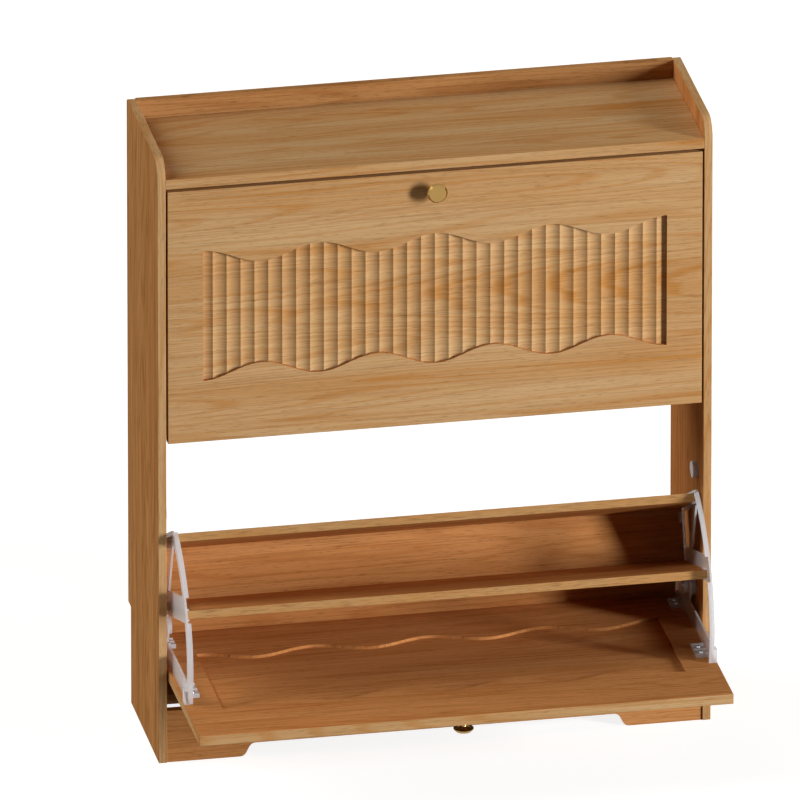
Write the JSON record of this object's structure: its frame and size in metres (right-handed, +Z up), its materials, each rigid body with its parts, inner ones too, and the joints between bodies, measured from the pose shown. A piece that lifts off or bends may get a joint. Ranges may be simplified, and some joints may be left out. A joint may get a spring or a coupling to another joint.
{
  "type": "shoe cabinet",
  "caption": "Slim oak-look shoe cabinet with tilt-out drawers on fan-shaped side brackets, wavy fluted door panels, round brass knobs, a railed top and an arched plinth.",
  "frame": {"origin": "on the floor, midway across the width and midway between the open door's tip and the back", "axes": "+X to the right when facing the front, +Y to the back, +Z up"},
  "size_m": [0.8, 0.4702, 0.93],
  "materials": {
    "oak_board": "satin oak foil on particle board",
    "white_plastic": "moulded",
    "brass": "brushed",
    "zinc_steel": "zinc plated",
    "beech": "raw"
  },
  "bodies": {
    "carcass": {"left_side_panel": "oak_board", "right_side_panel": "oak_board", "top_panel": "oak_board", "rear_gallery_rail": "oak_board", "rear_base_rail": "oak_board", "front_plinth": "oak_board", "cam_bolts": "zinc_steel", "cam_locks": "zinc_steel", "dowels": "beech", "upper_left_pivot_seat": "white_plastic", "upper_right_pivot_seat": "white_plastic", "upper_left_pivot_pin": "zinc_steel", "upper_right_pivot_pin": "zinc_steel", "upper_left_stop_button": "white_plastic", "upper_right_stop_button": "white_plastic", "lower_left_pivot_seat": "white_plastic", "lower_right_pivot_seat": "white_plastic", "lower_left_pivot_pin": "zinc_steel", "lower_right_pivot_pin": "zinc_steel", "lower_left_stop_button": "white_plastic", "lower_right_stop_button": "white_plastic", "seat_screws": "zinc_steel"},
    "upper_drawer": {"upper_door": "oak_board", "upper_fluted_panel": "oak_board", "upper_knob": "brass", "upper_knob_stud": "zinc_steel", "upper_divider": "oak_board", "upper_rear_floor": "oak_board", "upper_rear_wall": "oak_board", "upper_front_floor": "oak_board", "upper_left_bracket": "white_plastic", "upper_right_bracket": "white_plastic", "upper_bracket_screws": "zinc_steel"},
    "lower_drawer": {"lower_door": "oak_board", "lower_fluted_panel": "oak_board", "lower_knob": "brass", "lower_knob_stud": "zinc_steel", "lower_divider": "oak_board", "lower_rear_floor": "oak_board", "lower_rear_wall": "oak_board", "lower_front_floor": "oak_board", "lower_left_bracket": "white_plastic", "lower_right_bracket": "white_plastic", "lower_bracket_screws": "zinc_steel"}
  },
  "joints": [
    {"name": "upper_drawer_tilt", "type": "hinge", "parent": "carcass", "child": "upper_drawer", "pos_m": [0, 0.06212, 0.5863], "axis": [1, 0, 0], "range_deg": [0, 89]},
    {"name": "lower_drawer_tilt", "type": "hinge", "parent": "carcass", "child": "lower_drawer", "pos_m": [0, 0.06212, 0.1863], "axis": [1, 0, 0], "range_deg": [-89, 0]}
  ]
}
